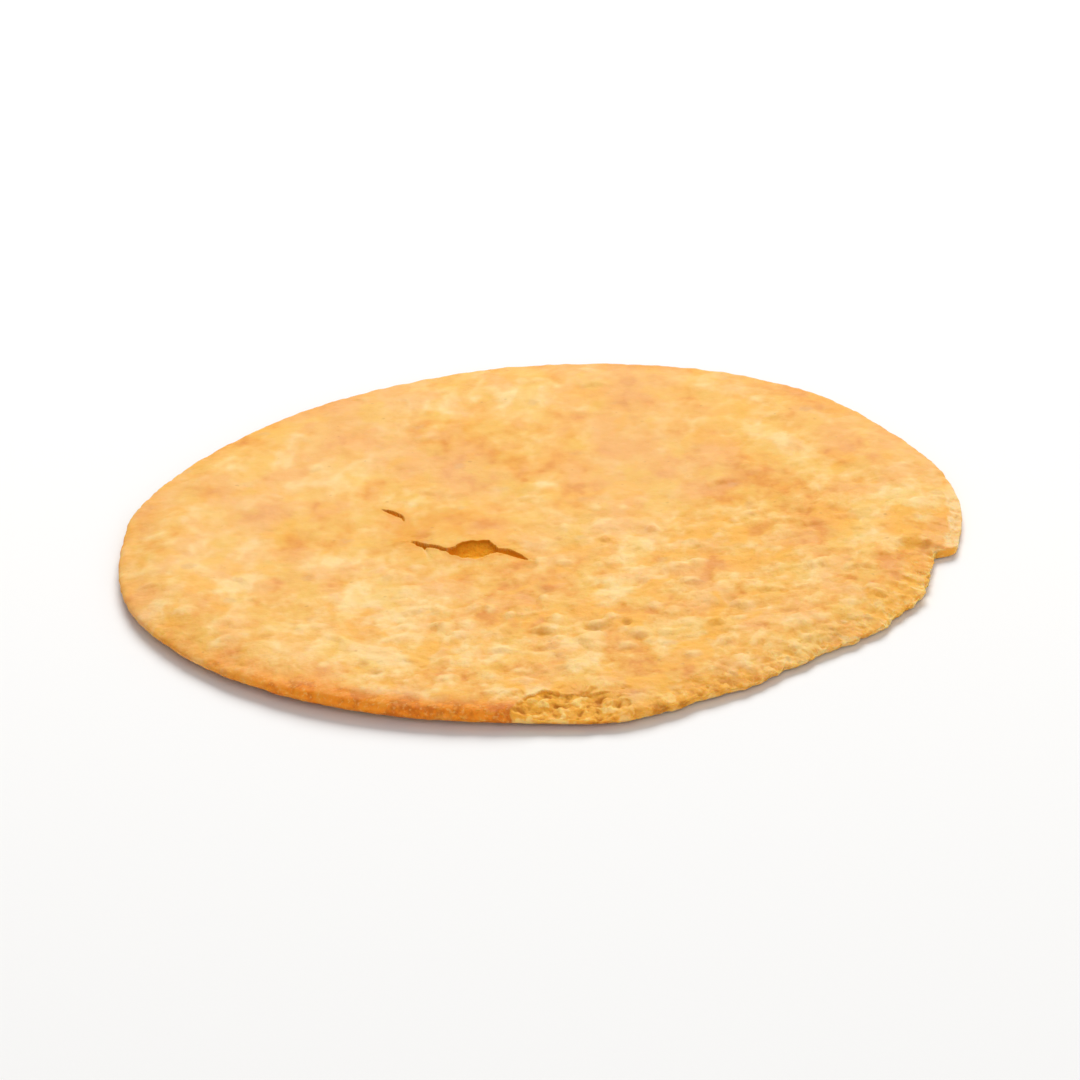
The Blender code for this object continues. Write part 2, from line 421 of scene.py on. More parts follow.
def triangles(x, y):
    """The Delaunay triangles of points, as indices."""
    points = [Vector((float(a), float(b))) for a, b in zip(x, y)]
    made = delaunay_2d_cdt(points, [], [], 0, 1e-7, True)
    given = np.array([ids[0] for ids in made[3]])
    return given[np.array(made[2])]


# --- Relief of the top skin ---
def scattered(count, seed, reach, gap):
    """Places in the disc, none closer than a gap to another."""
    rng = np.random.RandomState(seed)
    places = []
    while len(places) < count:
        x, y = rng.uniform(-reach, reach, 2)
        if math.hypot(x, y) < reach and all(
            (x - a) ** 2 + (y - b) ** 2 > gap * gap for a, b in places
        ):
            places.append((x, y))
    return np.array(places), rng


def roughness_of_skin(x, y):
    """Where the skin is rough and flaky, towards 1, and where it is smooth, towards 0."""
    p = flat(x, y)
    slow = 0.5 + 0.5 * grain(p, 17.0, 51)
    front = smooth(-22.0, 34.0, 0.45 * x - y)
    return np.clip(0.16 + 0.78 * front + 0.45 * (slow - 0.5), 0.0, 1.0)


def bubbles(x, y, count, seed, fill):
    """Touching domes, each 0 to 1 at its own height, as a skin has that bubbled as it baked."""
    rng = np.random.RandomState(seed)
    reach = RADIUS + 2.0
    cx, cy = rng.uniform(-reach, reach, count), rng.uniform(-reach, reach, count)
    tall = rng.uniform(0.15, 1.0, count) ** 1.6
    size = 2.0 * reach / math.sqrt(count) * rng.uniform(0.55, 1.0, count) * fill
    tree = kdtree.KDTree(count)
    for k in range(count):
        tree.insert((cx[k], cy[k], 0.0), k)
    tree.balance()
    best = np.zeros(len(x))
    for n, (a, b) in enumerate(zip(x, y)):
        top = 0.0
        for _, k, d in tree.find_n((a, b, 0.0), 3):
            d /= size[k]
            if d < 1.0:
                top = max(top, tall[k] * (1.0 - d * d) ** 1.3)
        best[n] = top
    return best


def relief(x, y):
    """The height of the top skin over the part's own surface."""
    p = flat(x, y)
    rough = roughness_of_skin(x, y)
    warped_x, warped_y = x + 0.6 * grain(p, 2.6, 2), y + 0.6 * grain(p, 2.6, 3)
    h = 0.075 * layers(p, 7.0, 1)
    h += (0.040 + 0.060 * rough) * grain(p, 3.0, 4)
    h += (0.010 + 0.045 * rough) * grain(p, 1.3, 6)
    h += (0.030 + 0.140 * rough) * bubbles(warped_x, warped_y, 1500, 8, 0.95)
    plates = grain(p, 3.4, 9) + 0.35 * grain(p, 1.1, 10)
    h += (0.02 + 0.13 * rough) * smooth(0.16, 0.30, plates)
    h -= (0.01 + 0.10 * rough) * smooth(-0.30, -0.42, plates)

    # Larger blisters, most of them whole and some broken open on one side.
    places, rng = scattered(190, 5, 42.5, 2.3)
    for bx, by in places:
        size = rng.uniform(0.9, 2.6)
        height = rng.uniform(0.06, 0.16) * (0.6 + 0.3 * size)
        stretch, angle = rng.uniform(0.6, 1.0), rng.uniform(0, math.pi)
        torn, facing = rng.uniform() < 0.45, rng.uniform(-2.6, -0.3)
        near = np.abs(x - bx) + np.abs(y - by) < 3.2 * size
        if not near.any():
            continue
        dx, dy = x[near] - bx, y[near] - by
        u = (dx * math.cos(angle) + dy * math.sin(angle)) / size
        v = (-dx * math.sin(angle) + dy * math.cos(angle)) / (size * stretch)
        d = u * u + v * v
        dome = np.where(d < 1.0, (1.0 - d) ** 1.6, 0.0)
        if torn:
            across = dx * math.cos(facing) + dy * math.sin(facing)
            across = across / size + 0.20 * grain(p[near], 0.9, 7)
            dome = dome * (1.0 - smooth(0.10, 0.34, across))
            dome = dome * (1.0 + 0.9 * smooth(-0.6, 0.1, across))
        h[near] += height * dome * (0.40 + 1.45 * rough[near])

    # Pits where a bubble has burst.
    places, rng = scattered(420, 6, 43.5, 1.0)
    for bx, by in places:
        size, depth = rng.uniform(0.30, 0.85), rng.uniform(0.04, 0.13)
        near = np.hypot(x - bx, y - by) < size
        if near.any():
            d = np.hypot(x[near] - bx, y[near] - by) / size
            h[near] -= depth * (1.0 - d * d) * (0.25 + 1.3 * rough[near])
    return h


def puff_list():
    """The placed puffs, and smaller ones scattered where the skin is rough."""
    places, rng = scattered(230, 15, 41.5, 1.7)
    rough = roughness_of_skin(places[:, 0], places[:, 1])
    result = list(PUFFS)
    for (px, py), much in zip(places, rough):
        long, wide = rng.uniform(0.5, 1.25), rng.uniform(0.5, 1.25)
        height = rng.uniform(0.12, 0.36) * (long + wide) / 2.0
        pit, chance = rng.uniform() < 0.30, rng.uniform()
        clear = math.hypot(px + 7.0, py + 3.5) > 5.5 and not (px > 28.0 and py > -18.0)
        if clear and chance < 1.35 * much - 0.35:
            result.append((px, py, long, wide, -0.8 * height if pit else height))
    return result


def tone(x, y):
    """Broad paler and darker places of the skin, around 0.5."""
    result = np.full(len(x), 0.5)
    for tx, ty, size, amount in TONES:
        result += amount * np.exp(-(((x - tx) ** 2 + (y - ty) ** 2) / size**2))
    return result


def roast(direction):
    """How dark the rim is roasted, with painted shade on the front wall: darkest at the front, hardly at all on
    the left.
    """
    d = np.asarray(direction) % 360.0
    front = smooth(203.0, 236.0, d) * (1 - 0.75 * smooth(268.0, 281.0, d))
    return 0.16 + 0.84 * front + 0.12 * smooth(20.0, 60.0, d) * (1 - smooth(120.0, 165.0, d))


# --- Placing the skin ---
def place_skin(lx, ly):
    """Each point of the skin's layout in 3D, and the masks that its material reads."""
    radius = np.hypot(lx, ly)
    direction = np.degrees(np.arctan2(ly, lx)) % 360.0
    torn_edge = broken(direction)

    angle = math.pi * np.clip((radius - TOP_RADIUS) / WRAP, 0.0, 1.0)
    power = 0.75 - 0.42 * torn_edge
    out = ROUND_LENGTH * np.maximum(np.sin(angle), 0.0) ** power
    turned = np.where(radius <= TOP_RADIUS, radius, TOP_RADIUS + out)
    level = 0.5 + 0.5 * np.cos(angle)

    share = turned / RADIUS
    edge = outline(direction)
    r = turned * (1.0 + (edge / RADIUS - 1.0) * smooth(0.2, 1.0, share))
    x, y = r * np.cos(np.radians(direction)), r * np.sin(np.radians(direction))
    inwards = edge - r
    within = RADIUS - turned
    lift = curl(np.minimum(1.0, share), direction)
    thick = thickness(x, y, inwards)
    bare = thick - np.where(
        np.hypot(x + 7.2, y - 0.6) < 8.0,
        0.50 * (1 - np.minimum(1.0, np.hypot(x + 7.2, y - 0.6) / 8.0) ** 2) ** 2,
        0.0,
    )
    on_top = smooth(0.35, 1.0, level)
    slope = torn_edge * (1 - smooth(2.5, 5.5, within + 0.8 * grain(flat(x, y), 3.0, 60)))
    slope = slope * (1 - 0.85 * smooth(335.0, 344.0, direction) * smooth(0.6, 1.6, within))
    height = relief(x, y) * (0.35 + 0.65 * smooth(0.3, 3.0, inwards))
    droop = np.clip(roast(direction) - 0.16, 0.0, 1.0) * smooth(4.2, -1.0, inwards) ** 1.6
    height -= 0.42 * droop * smooth(0.0, 0.5, level)
    strokes = flat(0.785 * direction / 0.9, radius / 2.6)
    crumbly = layers(flat(x, y), 1.7, 68)
    height += slope * (0.19 * crumbly + 0.030 * layers(strokes, 1.0, 69))
    skin = lift + thick + height
    z = lift + level * (thick + height)
    crumb, bed_mask, hollow_glow_and_shade = np.zeros(len(x)), np.zeros(len(x)), np.zeros(len(x))
    p = flat(x, y)

    # The tear. Its far lip is lifted, and the opening runs back under it.
    path = Along(x, y, TEAR)
    jag = 1.0 + 0.16 * grain(flat(path.at, path.side * 9.0), 0.9, 21)
    half = path.half * jag + 0.045 * grain(flat(path.at, path.side * 9.0), 0.28, 22)
    half = np.where(path.half < 0.09, -0.05, np.maximum(0.02, half))
    q = path.distance - half
    ends = smooth(0.0, 2.2, path.at) * smooth(0.0, 2.2, path.length - path.at)
    behind = path.side > 0
    wide = smooth(0.3, 1.5, path.half)
    lip = np.where(behind, (0.24 + 0.15 * wide) * np.exp(-((np.maximum(q, 0) / 1.5) ** 2)), 0.0)
    bead = np.where(~behind, 0.10 * np.exp(-(((np.maximum(q, 0) - 0.12) / 0.3) ** 2)), 0.0)
    ends = ends * smooth(0.04, 0.18, path.half)
    lip, bead = lip * ends, bead * ends * (0.4 + 0.6 * wide)
    z = z + (lip + bead) * on_top
    skin = skin + lip + bead
    floor = lift + 0.74 * bare + 0.09 * grain(p, 1.1, 23) + 0.05 * grain(p, 0.4, 24)
    wall = np.where(behind, 0.96 * half, np.minimum(0.42, 0.62 * half))
    inside = (q < 0.0) & (level > 0.99)
    f = np.clip(-q / np.maximum(wall, 1e-6), 0.0, 1.0)
    front = 0.06 + 0.06 * half
    front_moved = np.where(
        -q <= wall,
        front * smooth(0.22, 1.0, f),
        -half + (q + half) * (half + front) / np.maximum(half - wall, 1e-6),
    )
    back_moved = q + (0.05 + 0.05 * half) * smooth(0.0, 0.12, f) * (1 - smooth(0.12, 0.5, f))
    moved = np.where(behind, back_moved, front_moved)
    down = np.where(
        behind, 0.20 * smooth(0.0, 0.12, f) + 0.80 * f, smooth(0.0, 1.0, f) ** 0.8
    )
    z = np.where(inside, skin + (floor - skin) * down, z)
    x = np.where(inside, x + path.nx * (moved - q), x)
    y = np.where(inside, y + path.ny * (moved - q), y)
    crumb = np.where(inside, smooth(0.02, 0.15, f), crumb)
    # Painted light and shade: the tear's opening, and a little past the far lip's edge, takes the hollow colour.
    # That colour is brightened to stand in for light glowing through the thin skin, and it darkens the lip's face
    # as painted shade.
    hollow_glow_and_shade = np.where((half > 0.0) & (level > 0.99), smooth(0.09, -0.03, q), hollow_glow_and_shade)

    # Painted shade in the opening: darker under the far lip (deep), lighter towards the near side.
    across = path.side * path.distance / np.maximum(half, 0.05)
    deep = smooth(0.20, 0.88, across + 0.25 * grain(p, 1.2, 27)) * (half > 0)
    closed = smooth(4.0, 8.0, path.at) * (1 - smooth(10.5, 12.5, path.at))
    stain = smooth(1.1 + 0.9 * closed, 0.0, path.distance - path.half + 0.55 * grain(p, 1.4, 26))
    stain = stain * (0.35 + 0.60 * closed) * smooth(-1.0, 1.0, path.length - path.at)
    for sx, sy, wx, wy, much in STAINS:
        spot = ((x - sx) / wx) ** 2 + ((y - sy) / wy) ** 2 + 0.7 * grain(p, 1.5, 28)
        stain = np.maximum(stain, much * np.exp(-np.maximum(spot, 0.0)))

    pit_painted_shade, puff_painted_highlight = np.zeros(len(x)), np.zeros(len(x))

    # A hairline that branches off the tear, and another beyond its far end.
    for line, depth in (
        (((-12.5, -1.6, 0.1), (-12.2, -3.6, 0.1), (-11.8, -5.2, 0.1)), 0.22),
        (((-1.5, -6.0, 0.1), (-0.6, -6.8, 0.1), (0.6, -7.2, 0.1)), 0.10),
    ):
        hair = Along(x, y, line)
        fade = smooth(0.0, 0.5, hair.length - hair.at)
        groove = depth * np.exp(-((hair.distance / 0.13) ** 2)) * fade * on_top
        z -= groove
        crumb = np.maximum(crumb, 0.5 * groove / depth)

    # Puffs and pits of the front right, each with a ragged outline; the puffs' tops are marked for a painted
    # highlight and the pits for painted shade.
    for px, py, long, wide, rise in PUFF_LIST:
        near = (np.abs(x - px) < 1.6 * long) & (np.abs(y - py) < 1.6 * wide)
        if not near.any():
            continue
        d = ((x[near] - px) / long) ** 2 + ((y[near] - py) / wide) ** 2
        d = d * (1.0 + 0.45 * grain(p[near], 0.9, 25))
        dome = np.where(d < 1.0, (1.0 - np.minimum(d, 1.0)) ** 0.9, 0.0) * on_top[near]
        z[near] += rise * dome
        skin[near] += rise * dome
        if rise > 0:
            puff_painted_highlight[near] = np.maximum(puff_painted_highlight[near], dome)
        else:
            pit_painted_shade[near] = np.maximum(pit_painted_shade[near], dome)

    # The flaked place at the front: the skin is gone, and the bed slopes down to the edge.
    q = flake_inside(x, y, level)
    sharp = smooth(-4.4, -3.3, x) * (1 - smooth(0.6, 1.8, x))
    sharp += 0.9 * smooth(2.1, 3.0, x) * (1 - smooth(4.8, 6.2, x))
    sharp = np.clip(0.14 + sharp + 0.30 * grain(p, 1.3, 49), 0.04, 1.0)
    depth = 0.32 * sharp * smooth(0.0, 0.18, q) + 0.18 * (1 - sharp) * smooth(0.0, 1.3, q)
    depth += 0.62 * smooth(0.25, 4.6, q + 0.7 * grain(p, 1.9, 43)) * (1 - 0.35 * smooth(4.0, 8.0, x))
    warped = flat(x + 0.6 * grain(p, 1.4, 35), y + 0.6 * grain(p, 1.4, 36), 2.0 * level)
    lumps = 0.30 * grain(warped, 1.8, 44) + 0.17 * grain(warped, 0.9, 45)
    lumps += 0.07 * grain(p, 0.45, 37)
    depth += lumps * smooth(0.05, 0.5, q)
    bed = skin - depth
    flaked = (q > 0.0) & (level > 0.02)
    cut = flaked & (z > bed)
    bed_mask = smooth(0.0, 0.25, q) * smooth(0.0, 0.3, level) * (0.95 - 0.50 * smooth(4.5, 8.0, x))
    bed_mask = np.where(flaked, bed_mask, 0.0)
    crumb = np.maximum(crumb, bed_mask)
    # Painted shadow: a dark line just inside the torn skin's edge, where it overhangs the bed, in the tear's
    # hollow colour.
    shade = 0.55 * sharp * smooth(0.03, 0.2, q) * (1 - smooth(0.2, 0.6, q))
    hollow_glow_and_shade = np.where(flaked & (level > 0.9), np.maximum(hollow_glow_and_shade, shade), hollow_glow_and_shade)
    z = np.where(cut, bed, z)
    tuck = np.where(cut, 0.16 * smooth(0.05, 0.25, q) * (1 - smooth(0.3, 1.2, q)), 0.0)
    y = y + tuck

    # Crumbs that stand out of the wall on both sides of it.
    beside = smooth(244.0, 256.0, direction) * (1 - smooth(284.0, 292.0, direction))
    lump = grain(flat(x, y, 3.0 * level), 0.7, 47) + 0.4 * grain(flat(x, y, 3.0 * level), 0.35, 48)
    lump = beside * smooth(0.24, 0.55, lump) * smooth(0.02, 0.2, level) * (radius > TOP_RADIUS)
    crumb = np.maximum(crumb, 0.5 * lump)
    x = x + 0.12 * lump * np.cos(np.radians(direction))
    y = y + 0.12 * lump * np.sin(np.radians(direction))

    # Small flakes off the crumbled edge, and a pale bevel beyond the step.
    reach = 1.9 + 1.1 * grain(p, 3.0, 61)
    field = grain(p, 1.7, 62) + 0.5 * grain(p, 0.7, 63) + 0.9 * (1 - within / np.maximum(reach, 0.4)) - 0.55
    loose = torn_edge * smooth(0.0, 0.16, field) * (within < 3.6)
    depth = loose * (0.16 + 0.22 * smooth(0.2, 0.8, field) + 0.07 * grain(p, 0.6, 64))
    at = turn(direction, 0.0)
    pale = smooth(-12.8, -10.6, at) * (1 - smooth(3.0, 7.0, at))
    band = 1.55 + 0.45 * grain(p, 2.2, 65) + 0.22 * grain(p, 0.7, 66) - within
    bevel = pale * smooth(0.0, 0.25, band)
    depth += bevel * (0.16 + 0.26 * smooth(0.0, 1.4, band) + 0.08 * grain(p, 0.8, 67))
    z = np.where(level > 0.02, np.minimum(z, np.maximum(skin - depth, lift + 0.30)), z)
    tucked = 0.55 * torn_edge * smooth(0.0, 0.6, 1 - level) * (radius > TOP_RADIUS)
    x = x - tucked * np.cos(np.radians(direction))
    y = y - tucked * np.sin(np.radians(direction))
    z = np.maximum(z, lift * 0.98)
    crumb = np.maximum(crumb, 0.85 * loose * smooth(0.1, 0.6, level))
    crumb = np.maximum(crumb, 0.75 * bevel * smooth(0.1, 0.6, level))
    side = 1 - smooth(0.55, 0.95, level)
    crumb = np.maximum(crumb, 0.8 * torn_edge * side * (radius > TOP_RADIUS))
    crumb = np.maximum(crumb, 0.55 * slope * smooth(-0.25, 0.45, grain(p, 1.8, 72)))

    ochre = 0.75 * smooth(276.0, 284.0, direction) * (1 - smooth(290.0, 308.0, direction))
    ochre = ochre * smooth(3.2, 0.6, within + 0.9 * grain(p, 2.4, 74)) * smooth(0.0, 0.3, level)
    wall = smooth(344.5, 346.0, direction) * (1 - smooth(348.5, 349.5, direction))
    ochre = np.maximum(ochre, 0.9 * wall * smooth(0.97, 0.7, level) * smooth(0.0, 0.2, level))
    # Roasting near the edge, and painted shade on the wall: darker at the front and towards the wall's foot.
    roast_and_shade = roast(direction) * smooth(-4.2, 0.4, -inwards + 1.0 * grain(p, 3.4, 71))
    low = roast(direction) ** 0.5 * smooth(1.02, 0.45, level + 0.12 * grain(p, 1.7, 73))
    roast_and_shade = np.maximum(roast_and_shade, low) * (1 - torn_edge) * (1 - 0.6 * pale)
    return np.stack([x, y, z], 1), {
        "crumb": np.clip(crumb, 0, 1),
        "bed": np.clip(np.maximum(bed_mask, ochre), 0, 1),
        "hollow_glow_and_shade": np.clip(hollow_glow_and_shade, 0, 1),
        "roast_and_shade": np.clip(roast_and_shade, 0, 1),
        "under": 1 - smooth(0.0, 0.12, level),
        "rough_skin": roughness_of_skin(x, y),
        # Painted light and shade from the relief: higher skin paler, hollows darker; in the flaked place, deeper
        # bed darker.
        "relief_painted_shading": np.clip(np.where(flaked, 0.5 - 1.9 * lumps, 0.5 + 2.6 * height), 0, 1),
        "pit_painted_shade": np.clip(pit_painted_shade, 0, 1),
        "puff_painted_highlight": np.clip(puff_painted_highlight, 0, 1),
        "edge": smooth(TOP_RADIUS - 0.8, TOP_RADIUS + 0.6, radius),
        "broken": torn_edge,
        "painted_foot_shade": smooth(0.62, 0.05, level),
        "tone": tone(x, y),
        "deep": deep,
        "stain": np.clip(stain, 0, 1) * on_top,
        "flaky": np.clip(bevel, 0, 1) * smooth(0.1, 0.6, level),
    }


def place_under(lx, ly):
    """The underside, flat on the table in the middle, with small dimples."""
    radius = np.hypot(lx, ly)
    direction = np.degrees(np.arctan2(ly, lx)) % 360.0
    share = radius / RADIUS
    edge = outline(direction)
    r = radius * (1.0 + (edge / RADIUS - 1.0) * smooth(0.2, 1.0, share))
    x, y = r * np.cos(np.radians(direction)), r * np.sin(np.radians(direction))
    p = flat(x, y)
    z = curl(np.minimum(1.0, share), direction)
    dimples = 0.05 * np.abs(grain(p, 5.0, 91)) + 0.04 * np.abs(grain(p, 1.8, 92))
    z = z + dimples * (1 - smooth(40.5, 43.5, radius))
    tucked = 0.55 * broken(direction) * smooth(38.5, TOP_RADIUS, radius)
    x = x - tucked * np.cos(np.radians(direction))
    y = y - tucked * np.sin(np.radians(direction))
    count = len(x)
    return np.stack([x, y, z], 1), {
        "crumb": np.zeros(count),
        "bed": np.zeros(count),
        "hollow_glow_and_shade": np.zeros(count),
        "roast_and_shade": roast(direction) ** 0.5 * smooth(-2.6, 0.7, r - edge) * (1 - broken(direction)),
        "under": np.ones(count),
        "rough_skin": np.full(count, 0.3),
        "relief_painted_shading": np.full(count, 0.5),
        "pit_painted_shade": np.zeros(count),
        "puff_painted_highlight": np.zeros(count),
        "edge": np.zeros(count),
        "broken": np.zeros(count),
        "painted_foot_shade": np.ones(count),
        "tone": np.full(count, 0.5),
        "deep": np.zeros(count),
        "stain": np.zeros(count),
        "flaky": np.zeros(count),
    }


def point_normals(points, faces):
    """The mean normal at each point, larger faces counting for more."""
    a, b, c = (points[faces[:, k]] for k in range(3))
    n = np.cross(b - a, c - a)
    total = np.zeros_like(points)
    for k in range(3):
        np.add.at(total, faces[:, k], n)
    return total / np.maximum(np.linalg.norm(total, axis=1, keepdims=True), 1e-12)


def build_bread():
    lx, ly = layout()
    faces = triangles(lx, ly)
    points, masks = place_skin(lx, ly)

    ux, uy = under_layout()
    a = np.arange(RING) * (2.0 * math.pi / RING)
    below_x = np.concatenate([TOP_RADIUS * np.cos(a), ux])
    below_y = np.concatenate([TOP_RADIUS * np.sin(a), uy])
    below = triangles(below_x, below_y)
    under_points, under_masks = place_under(ux, uy)
    number = np.concatenate([np.arange(RING), len(points) + np.arange(len(ux))])
    below = number[below][:, ::-1]

    skin_count = len(points)
    points = np.concatenate([points, under_points])
    masks = {k: np.concatenate([masks[k], under_masks[k]]) for k in masks}
    faces_all = np.concatenate([faces, below])

    # Rough crumb: the broken edge and the bed of the flaked place, along their normals.
    normals = point_normals(points, faces_all)
    squeezed = points * np.array([1.0, 1.0, 2.4])
    crumbly = 0.09 * layers(squeezed, 1.2, 101) + 0.05 * grain(squeezed, 0.45, 102)
    push = crumbly * masks["edge"] * masks["broken"] * (1 - masks["under"])
    side = masks["edge"] * (1 - masks["broken"]) * (1 - masks["under"]) * (1 - masks["crumb"])
    push += side * (0.070 * grain(points, 1.7, 103) + 0.045 * grain(points, 0.7, 104))
    push += 0.05 * grain(points, 0.5, 105) * masks["crumb"] * (1 - masks["hollow_glow_and_shade"])
    points = points + normals * push[:, None]

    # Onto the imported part: the same middle, the same surface to lie on and the same height.
    smooth_low = np.array([np.min(OUTLINE_X), np.min(OUTLINE_Y)])
    smooth_high = np.array([np.max(OUTLINE_X), np.max(OUTLINE_Y)])
    middle = (smooth_low + smooth_high) / 2.0
    shift = np.array(
        [
            (NODE_BOX[0][0] + NODE_BOX[1][0]) / 2.0 - middle[0],
            (NODE_BOX[0][1] + NODE_BOX[1][1]) / 2.0 - middle[1],
            NODE_BOX[0][2],
        ]
    )
    points[:, 2] = np.maximum(points[:, 2], 0.0)
    high = NODE_BOX[1][2] - NODE_BOX[0][2] - 0.20
    over = np.maximum(points[:, 2] - high, 0.0)
    points[:, 2] -= over - 0.26 * (1.0 - np.exp(-over / 0.26))
    points = points + shift

    mesh = bpy.data.meshes.new("khakhra_skin")
    mesh.from_pydata((points * 0.001).tolist(), [], faces_all.tolist())
    mesh.shade_smooth()
    for name, values in masks.items():
        mask = mesh.attributes.new(name, "FLOAT", "POINT")
        mask.data.foreach_set("value", values.astype(np.float32))

    # The layout is the map too: the skin large, the underside small, side by side.
    unwrap = mesh.uv_layers.new(name="OFBake")
    skin_scale, under_scale = 0.305 / SKIN_RADIUS, 0.180 / TOP_RADIUS
    map_x = np.concatenate([0.315 + lx * skin_scale, 0.815 - ux * under_scale])
    map_y = np.concatenate([0.5 + ly * skin_scale, 0.5 + uy * under_scale])
    loops = np.zeros(len(mesh.loops), dtype=np.int64)
    mesh.loops.foreach_get("vertex_index", loops)
    uv = np.stack([map_x[loops], map_y[loops]], 1)
    ring_x = 0.815 - TOP_RADIUS * np.cos(a) * under_scale
    ring_y = 0.5 + TOP_RADIUS * np.sin(a) * under_scale
    first_below = 3 * len(faces)
    tail = loops[first_below:]
    on_ring = tail < RING
    uv[first_below:][on_ring] = np.stack([ring_x[tail[on_ring]], ring_y[tail[on_ring]]], 1)
    unwrap.data.foreach_set("uv", uv.astype(np.float32).ravel())

    bread = bpy.data.objects.new("khakhra_bread", mesh)
    bpy.context.scene.collection.objects.link(bread)
    print("bread:", len(points), "points,", len(faces_all), "triangles,", skin_count, "in the skin")
    return bread


PUFF_LIST = puff_list()
ANGLES = np.radians(AROUND)
OUTLINE_X, OUTLINE_Y = OUTLINE * np.cos(ANGLES), OUTLINE * np.sin(ANGLES)


# --- Materials ---
class Graph:
    """Short names for the nodes of one material."""

    def __init__(self, name):
        self.material = bpy.data.materials.new(name)
        self.material.use_nodes = True
        self.tree = self.material.node_tree
        self.shader = self.tree.nodes["Principled BSDF"]
        plain = self.tree.nodes.new("ShaderNodeTexCoord").outputs["Object"]
        stretched = self.tree.nodes.new("ShaderNodeVectorMath")
        stretched.operation = "MULTIPLY"
        self.tree.links.new(plain, stretched.inputs[0])
        stretched.inputs[1].default_value = (1.0, 0.66, 1.0)
        self.plain, self.stretched = plain, stretched.outputs[0]
        self.coordinates = plain

    def put(self, socket, value):
        if isinstance(value, bpy.types.NodeSocket):
            self.tree.links.new(value, socket)
        elif isinstance(value, tuple):
            socket.default_value = (*value, 1.0) if len(value) == 3 else value
        else:
            socket.default_value = value

    def math(self, operation, a, b=0.0, clamp=False):
        node = self.tree.nodes.new("ShaderNodeMath")
        node.operation = operation
        node.use_clamp = clamp
        self.put(node.inputs[0], a)
        self.put(node.inputs[1], b)
        return node.outputs[0]

    def noise(self, size_mm, detail=3.0, rough=0.5, distort=0.0, shift=0.0):
        moved = self.tree.nodes.new("ShaderNodeVectorMath")
        moved.operation = "ADD"
        self.put(moved.inputs[0], self.coordinates)
        moved.inputs[1].default_value = (0.031 * shift, 0.017 * shift, 0.023 * shift)
        node = self.tree.nodes.new("ShaderNodeTexNoise")
        self.put(node.inputs["Vector"], moved.outputs[0])
        node.inputs["Scale"].default_value = 1000.0 / size_mm
        node.inputs["Detail"].default_value = detail
        node.inputs["Roughness"].default_value = rough
        node.inputs["Distortion"].default_value = distort
        return node.outputs["Fac"]

    def cells(self, size_mm, output="Distance", random=1.0):
        node = self.tree.nodes.new("ShaderNodeTexVoronoi")
        self.put(node.inputs["Vector"], self.coordinates)
        node.inputs["Scale"].default_value = 1000.0 / size_mm
        node.inputs["Randomness"].default_value = random
        return node.outputs[output]

    def ramp(self, value, low, high, to_low=0.0, to_high=1.0):
        node = self.tree.nodes.new("ShaderNodeMapRange")
        node.interpolation_type = "SMOOTHSTEP"
        node.clamp = True
        self.put(node.inputs["Value"], value)
        node.inputs["From Min"].default_value = low
        node.inputs["From Max"].default_value = high
        node.inputs["To Min"].default_value = to_low
        node.inputs["To Max"].default_value = to_high
        return node.outputs["Result"]

    def mask(self, name):
        node = self.tree.nodes.new("ShaderNodeAttribute")
        node.attribute_name = name
        return node.outputs["Fac"]

    def first(self, colour):
        """The red channel of a colour, as a number for each cell."""
        node = self.tree.nodes.new("ShaderNodeSeparateColor")
        self.put(node.inputs[0], colour)
        return node.outputs[0]

    def total(self, start, *terms):
        """start plus each (value, weight) pair, the value counted from 0.5."""
        result = start
        for value, weight in terms:
            centred = self.math("MULTIPLY", self.math("SUBTRACT", value, 0.5), weight)
            result = self.math("ADD", centred, result)
        return result

    def palette(self, value, stops):
        node = self.tree.nodes.new("ShaderNodeValToRGB")
        ramp = node.color_ramp
        while len(ramp.elements) < len(stops):
            ramp.elements.new(0.5)
        for element, (place, colour) in zip(ramp.elements, stops):
            element.position = place
        for element, (place, colour) in zip(ramp.elements, stops):
            element.color = (*colour, 1.0)
        self.put(node.inputs[0], value)
        return node.outputs[0]

    def mix(self, a, b, share):
        node = self.tree.nodes.new("ShaderNodeMix")
        node.data_type = "RGBA"
        self.put(node.inputs["Factor"], share)
        self.put(node.inputs[6], a)
        self.put(node.inputs[7], b)
        return node.outputs[2]

    def bump(self, height, distance_mm, strength=1.0, after=None):
        node = self.tree.nodes.new("ShaderNodeBump")
        node.inputs["Strength"].default_value = strength
        node.inputs["Distance"].default_value = distance_mm * 0.001
        self.put(node.inputs["Height"], height)
        if after is not None:
            self.put(node.inputs["Normal"], after)
        return node.outputs["Normal"]


# Albedos, linear.
CREAM = (0.875, 0.600, 0.250)
PALE_GOLD = (0.845, 0.505, 0.156)
GOLD = (0.810, 0.430, 0.094)
TAN = (0.775, 0.348, 0.050)
ORANGE_TAN = (0.700, 0.262, 0.026)
DEEP_GOLD = (0.840, 0.400, 0.048)
PINK_TAN = (0.800, 0.420, 0.150)
ROSY = (0.810, 0.395, 0.120)
STRAW = (0.800, 0.470, 0.090)
BROWN = (0.42, 0.150, 0.034)
ROASTED = (0.850, 0.262, 0.011)
ROASTED_DARK_AND_SHADE = (0.600, 0.150, 0.008)
SPOT = (0.720, 0.250, 0.045)
SPOT_DARK = (0.560, 0.160, 0.024)
EDGE_PALE = (0.900, 0.580, 0.185)
EDGE_GOLD = (0.870, 0.450, 0.080)
FLAKE_PALE = (0.860, 0.600, 0.310)
EDGE_DARK = (0.780, 0.350, 0.050)
BED_PALE = (0.900, 0.570, 0.160)
BED = (0.820, 0.375, 0.040)
BED_DARK_AND_SHADE = (0.520, 0.175, 0.009)
